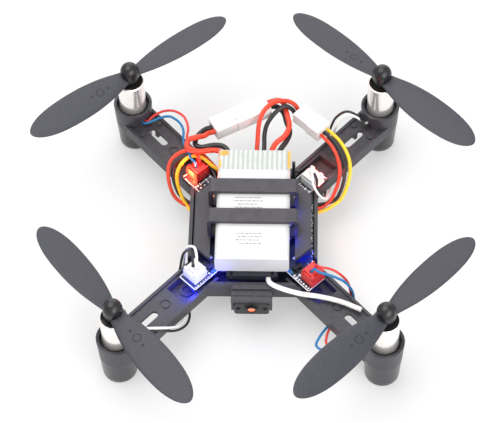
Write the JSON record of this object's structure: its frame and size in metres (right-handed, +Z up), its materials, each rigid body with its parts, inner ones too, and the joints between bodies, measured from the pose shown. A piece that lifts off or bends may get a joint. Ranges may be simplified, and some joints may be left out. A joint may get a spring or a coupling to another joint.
{
  "type": "micro quadcopter",
  "caption": "Palm-sized multirotor drone with an X frame, brushed flight controller board, battery cage, nose camera and bladed propellers on coreless motors.",
  "frame": {"origin": "middle of the craft's footprint, propellers as stored, on the plane of the feet", "axes": "+Z up along the motor shafts, -Y towards the nose and its camera, +X to the right when the craft is seen from above with its nose towards the viewer"},
  "size_m": [0.1368, 0.1428, 0.0376],
  "materials": {
    "frame_black": "matte black moulded nylon with a fine grain",
    "propeller_grey": "matte charcoal plastic with a fine grain, glossy hub",
    "can_steel": "polished nickel-plated steel",
    "magnet_grey": "bare sintered magnet",
    "bushing_brass": "turned brass",
    "end_bell": "moulded plastic",
    "rotor_copper": "enamelled copper coil and steel shaft",
    "screw_steel": "plated steel",
    "camera_dark": "matte plastic",
    "lens_glass": "coated glass with an orange reflection",
    "shield_grey": "grey anodised shield",
    "aerial_white": "white coaxial sleeve",
    "aerial_black": "black sleeve",
    "board_dark": "dark solder mask with white outlines",
    "chip_black": "moulded epoxy",
    "chip_pale": "ceramic with tinned ends",
    "tin_metal": "tinned steel",
    "lamp_blue": "lit blue lamp",
    "lamp_red": "lit red lamp",
    "connector_white": "natural white nylon",
    "connector_red": "red nylon",
    "button_black": "matte plastic",
    "pouch_silver": "silver laminate pouch",
    "clear_tape": "clear tape over layered tabs",
    "circuit_green": "solder mask",
    "contact_brass": "crimped brass",
    "wire_red_black": "silicone insulation, red and black",
    "wire_white_black": "plastic insulation, white and black",
    "wire_red_blue": "plastic insulation, red and blue"
  },
  "bodies": {
    "airframe": {"frame_tray": "frame_black", "foot_caps": "frame_black", "battery_cage": "frame_black", "cage_screws": "screw_steel", "camera_bracket": "frame_black", "camera_case": "camera_dark", "camera_lens": "camera_dark", "camera_glass": "lens_glass", "video_transmitter": "shield_grey", "antenna": "aerial_white", "motor_can_fl": "can_steel", "motor_can_fr": "can_steel", "motor_can_rl": "can_steel", "motor_can_rr": "can_steel", "motor_end_caps": "end_bell", "motor_magnets": "magnet_grey", "motor_bushings": "bushing_brass", "board_pcb": "board_dark", "board_processor": "chip_black", "board_gyro": "chip_black", "board_receiver": "chip_black", "board_mosfets": "chip_black", "board_passives": "chip_pale", "board_crystal": "tin_metal", "board_usb_port": "tin_metal", "board_leds_front": "lamp_blue", "board_leds_rear": "lamp_red", "motor_sockets_white": "connector_white", "motor_sockets_red": "connector_red", "motor_plugs_white": "connector_white", "motor_plugs_red": "connector_red", "bind_button_body": "tin_metal", "receiver_aerial": "aerial_black", "pigtail_wires": "wire_red_black", "video_connector": "connector_white", "video_pair": "wire_red_black", "video_cable": "wire_red_black", "motor_leads_fl": "wire_white_black", "motor_leads_fr": "wire_red_blue", "motor_leads_rl": "wire_red_blue", "motor_leads_rr": "wire_white_black"},
    "rotor_assembly_fl": {"rotor_fl": "rotor_copper", "propeller_fl": "propeller_grey"},
    "rotor_assembly_fr": {"rotor_fr": "rotor_copper", "propeller_fr": "propeller_grey"},
    "rotor_assembly_rl": {"rotor_rl": "rotor_copper", "propeller_rl": "propeller_grey"},
    "rotor_assembly_rr": {"rotor_rr": "rotor_copper", "propeller_rr": "propeller_grey"},
    "battery": {"battery_pouch": "pouch_silver", "battery_end_tape": "clear_tape", "battery_circuit": "circuit_green", "battery_leads": "wire_red_black", "pigtail_socket": "connector_white", "pigtail_pins": "tin_metal"},
    "battery_plug": {"battery_plug": "connector_white", "battery_plug_contacts": "contact_brass"},
    "bind_button": {"bind_button_cap": "button_black"}
  },
  "joints": [
    {"name": "propeller_spin_fl", "type": "hinge", "parent": "airframe", "child": "rotor_assembly_fl", "pos_m": [-0.03879, -0.04172, 0.0326], "axis": [0, 0, 1], "continuous": true},
    {"name": "propeller_spin_fr", "type": "hinge", "parent": "airframe", "child": "rotor_assembly_fr", "pos_m": [0.04021, -0.04172, 0.0326], "axis": [0, 0, 1], "continuous": true},
    {"name": "propeller_spin_rl", "type": "hinge", "parent": "airframe", "child": "rotor_assembly_rl", "pos_m": [-0.03879, 0.04528, 0.0326], "axis": [0, 0, 1], "continuous": true},
    {"name": "propeller_spin_rr", "type": "hinge", "parent": "airframe", "child": "rotor_assembly_rr", "pos_m": [0.04021, 0.04528, 0.0326], "axis": [0, 0, 1], "continuous": true},
    {"name": "battery_slide", "type": "slide", "parent": "airframe", "child": "battery", "axis": [0, 1, 0], "range_m": [0, 0.02], "deforming": ["pigtail_wires", "video_pair", "video_cable", "motor_leads_rl"]},
    {"name": "battery_plug_pull", "type": "slide", "parent": "battery", "child": "battery_plug", "axis": [-0.8686, -0.4955, 0], "range_m": [0, 0.007], "deforming": ["battery_leads"]},
    {"name": "bind_button_press", "type": "slide", "parent": "airframe", "child": "bind_button", "axis": [0, 0, -1], "range_m": [0, 0.0004], "stiffness_N_per_m": 50, "springref_m": -0.001}
  ]
}
